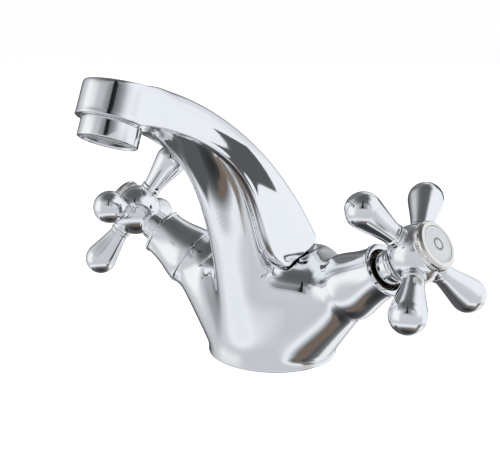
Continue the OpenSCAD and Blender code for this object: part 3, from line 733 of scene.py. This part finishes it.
def surface_group():
    """Uneven polish: cloudy roughness from handling, and a faint waviness."""
    tree, given, result = group_tree(
        "uneven_polish",
        [("Cloud Scale", "NodeSocketFloat", CLOUD_SCALE), ("Base Roughness", "NodeSocketFloat", 0.05),
         ("Spread", "NodeSocketFloat", 0.04), ("Wave Scale", "NodeSocketFloat", WAVE_SCALE),
         ("Wave Height", "NodeSocketFloat", WAVE_HEIGHT)],
        [("Roughness", "NodeSocketFloat"), ("Cloud", "NodeSocketFloat"), ("Normal", "NodeSocketVector")])
    link = tree.links.new
    place = tree.nodes.new("ShaderNodeTexCoord")
    cloud = tree.nodes.new("ShaderNodeTexNoise")
    cloud.inputs["Detail"].default_value = 4
    link(place.outputs["Object"], cloud.inputs["Vector"])
    link(given.outputs["Cloud Scale"], cloud.inputs["Scale"])
    sharpen = tree.nodes.new("ShaderNodeMapRange")
    sharpen.inputs["From Min"].default_value = 0.4
    sharpen.inputs["From Max"].default_value = 0.7
    link(cloud.outputs["Fac"], sharpen.inputs["Value"])
    spread = tree.nodes.new("ShaderNodeMath")
    spread.operation = "MULTIPLY_ADD"
    link(sharpen.outputs["Result"], spread.inputs[0])
    link(given.outputs["Spread"], spread.inputs[1])
    link(given.outputs["Base Roughness"], spread.inputs[2])
    link(spread.outputs[0], result.inputs["Roughness"])
    link(sharpen.outputs["Result"], result.inputs["Cloud"])
    wave = tree.nodes.new("ShaderNodeTexNoise")
    wave.inputs["Detail"].default_value = 1
    link(place.outputs["Object"], wave.inputs["Vector"])
    link(given.outputs["Wave Scale"], wave.inputs["Scale"])
    bump = tree.nodes.new("ShaderNodeBump")
    bump.inputs["Distance"].default_value = 0.0002
    link(wave.outputs["Fac"], bump.inputs["Height"])
    link(given.outputs["Wave Height"], bump.inputs["Strength"])
    link(bump.outputs["Normal"], result.inputs["Normal"])
    return tree


polish = surface_group()


def polished(name, color, darker, metallic, roughness, spread, wave_height=WAVE_HEIGHT):
    """A material whose polish is uneven, and whose colour goes a little darker in the clouds."""
    made, tree, shader = material(name, color, metallic, roughness)
    effect = tree.nodes.new("ShaderNodeGroup")
    effect.node_tree = polish
    effect.inputs["Cloud Scale"].default_value = CLOUD_SCALE
    effect.inputs["Base Roughness"].default_value = roughness
    effect.inputs["Spread"].default_value = spread
    effect.inputs["Wave Scale"].default_value = WAVE_SCALE
    effect.inputs["Wave Height"].default_value = wave_height
    tree.links.new(effect.outputs["Roughness"], shader.inputs["Roughness"])
    tree.links.new(effect.outputs["Normal"], shader.inputs["Normal"])
    mix = tree.nodes.new("ShaderNodeMix")
    mix.data_type = "RGBA"
    mix.inputs["A"].default_value = (*color, 1)
    mix.inputs["B"].default_value = (*darker, 1)
    tree.links.new(effect.outputs["Cloud"], mix.inputs["Factor"])
    tree.links.new(mix.outputs["Result"], shader.inputs["Base Color"])
    return made


chrome = polished("chrome_plate", (0.90, 0.91, 0.93), (0.885, 0.897, 0.92), 1, 0.055, 0.03)
warm_plate = polished("cap_plate", (0.88, 0.86, 0.82), (0.84, 0.82, 0.77), 1, 0.12, 0.05)
steel = polished("stainless_steel", (0.62, 0.63, 0.65), (0.5, 0.5, 0.52), 1, 0.28, 0.1)
brass = polished("turned_brass", (0.5, 0.37, 0.19), (0.4, 0.29, 0.15), 1, 0.42, 0.1, wave_height=0.1)
rubber = polished("black_rubber", (0.03, 0.03, 0.033), (0.045, 0.045, 0.05), 0, 0.6, 0.15,
                  wave_height=0.3)
ceramic = polished("ceramic", (0.9, 0.88, 0.84), (0.86, 0.84, 0.8), 0, 0.25, 0.05)
insert_plastic = polished("insert_plastic", (0.55, 0.57, 0.6), (0.5, 0.52, 0.55), 0, 0.4, 0.1)
index_gloss = polished("index_gloss", (0.9, 0.92, 0.92), (0.87, 0.89, 0.9), 0, 0.25, 0.08)
index_mark = polished("index_mark", (0.22, 0.24, 0.27), (0.26, 0.28, 0.3), 0, 0.3, 0.05)


def dress(piece, *materials):
    piece.data.materials.clear()
    for made in materials:
        piece.data.materials.append(made)
    return piece


# Pieces that replace the CAD nodes
casting = dress(make_casting(), chrome)
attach(casting, "fixed")
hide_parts("body")

collar = dress(smooth(put(make_aerator(), TO_METRES)), chrome)
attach(collar, "fixed")
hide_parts("aerator_housing")

screen = dress(smooth(put(make_mesh_screen(), TO_METRES)), steel)
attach(screen, "fixed")
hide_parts("aerator_mesh")

first = {"sleeve": make_sleeve(), "hub": make_hub(), "arm": make_arm(), "cap": make_cap(),
         "index": make_index()}
for side, name in ((1, "cold"), (-1, "hot")):
    body = name + "_handle"
    hub_place = TO_METRES @ handle_place(side) @ Matrix.Translation((0, 0, HUB_S))
    pieces = [("sleeve", name + "_sleeve", "fixed", chrome, "chrome_trim",
               TO_METRES @ valve_place(side) @ Matrix.Translation((0, 0, ARM_LEN))),
              ("hub", name + "_hub", body, chrome, "chrome_trim", hub_place),
              ("cap", name + "_cap", body, warm_plate, "cap_metal", hub_place),
              ("index", name + "_index", body, index_gloss, "index_plastic", hub_place)]
    for k in range(4):
        turn = Matrix.Rotation(side * k * pi / 2, 4, "Z") @ Matrix.Rotation(pi / 2, 4, "Y")
        pieces.append(("arm", f"{name}_arm_{k + 1}", body, chrome, "chrome_trim", hub_place @ turn))
    for form, node, rider, finish, slot, place in pieces:
        piece = put(copy_of(first[form], node.replace(name, name + "_shown")), place)
        dress(smooth(piece), finish)
        if form == "index":
            piece.data.materials.append(index_mark)
            for face in piece.data.polygons:
                out = (hub_place.inverted() @ face.center).to_2d().length
                if MARK_IN < out < MARK_OUT:
                    face.material_index = 1
        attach(piece, rider)
        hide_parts(node)
for piece in first.values():
    bpy.data.objects.remove(piece)

# Finishes of the CAD nodes that stay
kept = {"base_seal": rubber, "aerator_insert": insert_plastic, "aerator_washer": rubber}
for name in ("cold", "hot"):
    kept.update({name + "_valve_body": brass, name + "_seat_seal": rubber,
                 name + "_fixed_disc": ceramic, name + "_moving_disc": ceramic,
                 name + "_spindle": brass, name + "_spindle_rings": rubber,
                 name + "_clip": steel, name + "_screw": steel})
for node, finish in kept.items():
    dress(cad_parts[node], finish)

# Floor, in metres
FLOOR_R, FLOOR_DROP = 6, 0.0002
deselect()
bpy.ops.mesh.primitive_circle_add(
    vertices=64, radius=FLOOR_R, fill_type="NGON", location=(0, 0, -FLOOR_DROP))
floor = new_piece("floor")
floor_paint, tree, shader = material("pale_floor", (0.9, 0.9, 0.9), 0, 0.9)
shader.inputs["Emission Color"].default_value = (1, 1, 0.995, 1)
shader.inputs["Emission Strength"].default_value = 0.9
dress(floor, floor_paint)
floor.visible_glossy = False

# Camera
r0 = Vector((cos(CAMERA_AZIMUTH), sin(CAMERA_AZIMUTH), 0))
u0 = Vector((-sin(CAMERA_AZIMUTH) * sin(CAMERA_ELEVATION), cos(CAMERA_AZIMUTH) * sin(CAMERA_ELEVATION),
             cos(CAMERA_ELEVATION)))
right = r0 * cos(CAMERA_ROLL) + u0 * sin(CAMERA_ROLL)
above = u0 * cos(CAMERA_ROLL) - r0 * sin(CAMERA_ROLL)
turn = Matrix((right, above, right.cross(above))).transposed().to_4x4()
camera_data = bpy.data.cameras.new("camera")
camera_data.lens = CAMERA_LENS
camera_data.sensor_width = 36
camera_data.shift_x = CAMERA_SHIFT_X
camera_data.shift_y = CAMERA_SHIFT_Y
camera_data.clip_start = 0.01
camera = bpy.data.objects.new("camera", camera_data)
bpy.context.scene.collection.objects.link(camera)
camera.matrix_world = Matrix.Translation(CAMERA_PLACE) @ turn
bpy.context.scene.camera = camera

# Studio. Directions are in degrees: azimuth 0 is in front of the tap and 90 at its cold side.
world = bpy.data.worlds.new("studio")
bpy.context.scene.world = world
world.use_nodes = True
tree = world.node_tree
tree.nodes.clear()
link = tree.links.new


def math(operation, first, second=None, third=None):
    node = tree.nodes.new("ShaderNodeMath")
    node.operation = operation
    for k, value in enumerate((first, second, third)):
        if isinstance(value, (int, float)):
            node.inputs[k].default_value = value
        elif value is not None:
            link(value, node.inputs[k])
    return node.outputs[0]


aim = tree.nodes.new("ShaderNodeTexCoord")
split = tree.nodes.new("ShaderNodeSeparateXYZ")
link(aim.outputs["Generated"], split.inputs[0])
forward = math("MULTIPLY", split.outputs["Y"], -1)
azimuth = math("MULTIPLY", math("ARCTAN2", split.outputs["X"], forward), 180 / pi)
elevation = math("MULTIPLY", math("ARCSINE", split.outputs["Z"]), 180 / pi)


def around(value, centre, half, soft, turn=False):
    """1 within half of the centre, and 0 beyond it, over a soft edge."""
    away = math("SUBTRACT", value, centre)
    if turn:
        away = math("WRAP", away, 180, -180)
    edge = tree.nodes.new("ShaderNodeMapRange")
    edge.interpolation_type = "SMOOTHSTEP"
    link(math("ABSOLUTE", away), edge.inputs["Value"])
    edge.inputs["From Min"].default_value = half - soft / 2
    edge.inputs["From Max"].default_value = half + soft / 2
    edge.inputs["To Min"].default_value = 1
    edge.inputs["To Max"].default_value = 0
    return edge.outputs["Result"]


def soft_card(behind, place, half, soft, shade, tint=(1, 1, 1)):
    """A card in the studio, at an azimuth and elevation, over what is behind it."""
    mask = math("MULTIPLY", around(azimuth, place[0], half[0], soft[0], turn=True),
                around(elevation, place[1], half[1], soft[1]))
    mix = tree.nodes.new("ShaderNodeMix")
    mix.data_type = "RGBA"
    link(mask, mix.inputs["Factor"])
    link(behind, mix.inputs["A"])
    mix.inputs["B"].default_value = (shade * tint[0], shade * tint[1], shade * tint[2], 1)
    return mix.outputs["Result"]


def shade_stops(ramp, shades):
    """Gives a colour ramp its stops, each a place and a shade of the studio's cool grey."""
    stops = ramp.color_ramp.elements
    while len(stops) > 1:
        stops.remove(stops[0])
    for k, (position, shade) in enumerate(shades):
        stop = stops[0] if k == 0 else stops.new(position)
        stop.position = position
        stop.color = (shade * COOL[0], shade * COOL[1], shade * COOL[2], 1)


COOL, WARM, EARTH = (0.96, 0.99, 1.03), (1.15, 0.98, 0.84), (1.25, 0.97, 0.78)
# The tent's shade at each elevation
TENT = [(-90, 0.03), (-76, 0.05), (-66, 0.09), (-58, 0.2), (-52, 0.5), (-46, 0.88), (-40, 0.92),
        (-33, 0.7), (-25, 0.62), (-5, 0.64), (15, 0.66), (32, 0.58), (42, 0.42), (52, 0.22), (62, 0.13),
        (90, 0.1)]
height = tree.nodes.new("ShaderNodeValToRGB")
link(math("MULTIPLY_ADD", elevation, 1 / 180, 0.5), height.inputs["Fac"])
shade_stops(height, [(angle / 180 + 0.5, shade) for angle, shade in TENT])
light = height.outputs["Color"]
# Each card's place, half size and soft edge are an azimuth and an elevation. Its shade comes next.
for card in (
        ((125, 32), (45, 28), (30, 24), 0.95, COOL),
        ((155, -10), (45, 18), (24, 10), 0.95, COOL),
        ((-50, 5), (24, 26), (24, 20), 0.98),
        ((-170, 28), (18, 18), (14, 14), 0.8, COOL),
        ((-120, 40), (26, 16), (16, 12), 0.2, COOL),
        ((-108, -57), (50, 13), (14, 7), 0.1, COOL),
        ((60, -66), (55, 7), (30, 8), 0.14, EARTH),
        ((106, -47), (14, 14), (8, 8), 0.2, WARM),
        ((166, -46), (22, 8), (14, 8), 0.9),
        ((35, 31), (20, 9), (60, 22), 0.34, COOL),
        ((-132, -14), (28, 40), (40, 30), 0.1, COOL)):
    light = soft_card(light, *card)

out = tree.nodes.new("ShaderNodeOutputWorld")
seen = tree.nodes.new("ShaderNodeBackground")
seen.inputs["Color"].default_value = (0.985, 0.99, 0.985, 1)
room = tree.nodes.new("ShaderNodeBackground")
link(light, room.inputs["Color"])
path = tree.nodes.new("ShaderNodeLightPath")
mix = tree.nodes.new("ShaderNodeMixShader")
link(path.outputs["Is Camera Ray"], mix.inputs["Fac"])
link(room.outputs[0], mix.inputs[1])
link(seen.outputs[0], mix.inputs[2])
link(mix.outputs[0], out.inputs["Surface"])


def make_flag(name, centre, wide, high, turn, shades):
    """A shaded screen that only reflections show. Its shades go from its left to its right."""
    deselect()
    bpy.ops.mesh.primitive_plane_add(size=1)
    flag = new_piece(name)
    put(flag, Matrix.Translation(Vector(centre) * MM) @ Matrix.Rotation(turn, 4, "Z")
        @ Matrix.Rotation(pi / 2, 4, "X") @ Matrix.Diagonal((wide * MM, high * MM, 1, 1)))
    cloth, cloth_tree, shader = material(name, (0, 0, 0), 0, 1, Emission_Strength=1)
    shader.inputs["Specular IOR Level"].default_value = 0
    place = cloth_tree.nodes.new("ShaderNodeTexCoord")
    along = cloth_tree.nodes.new("ShaderNodeVectorMath")
    along.operation = "DOT_PRODUCT"
    along.inputs[1].default_value = (cos(turn), sin(turn), 0)
    share = cloth_tree.nodes.new("ShaderNodeMapRange")
    middle = (centre[0] * cos(turn) + centre[1] * sin(turn)) * MM
    share.inputs["From Min"].default_value = middle - wide * MM / 2
    share.inputs["From Max"].default_value = middle + wide * MM / 2
    fade = cloth_tree.nodes.new("ShaderNodeValToRGB")
    shade_stops(fade, shades)
    cloth_tree.links.new(place.outputs["Object"], along.inputs[0])
    cloth_tree.links.new(along.outputs["Value"], share.inputs["Value"])
    cloth_tree.links.new(share.outputs["Result"], fade.inputs["Fac"])
    cloth_tree.links.new(fade.outputs["Color"], shader.inputs["Emission Color"])
    dress(flag, cloth)
    flag.visible_camera = False
    flag.visible_shadow = False
    flag.visible_diffuse = False


make_flag("flag_front", (138, -300, 545), 64, 700, CAMERA_AZIMUTH, [(0, 0.01), (1, 0.02)])
make_flag("flag_wings", (183, -277, 258), 420, 145, CAMERA_AZIMUTH,
          [(0, 0.5), (0.12, 0.36), (0.25, 0.26), (0.36, 0.06), (0.42, 0.04), (0.5, 0.17), (0.62, 0.27),
           (0.75, 0.42), (0.88, 0.66), (1, 0.8)])
make_flag("flag_back", (57, 48, 79), 38, 33, radians(-30), [(0, 0.1), (1, 0.1)])

bpy.context.scene.view_settings.view_transform = "Standard"
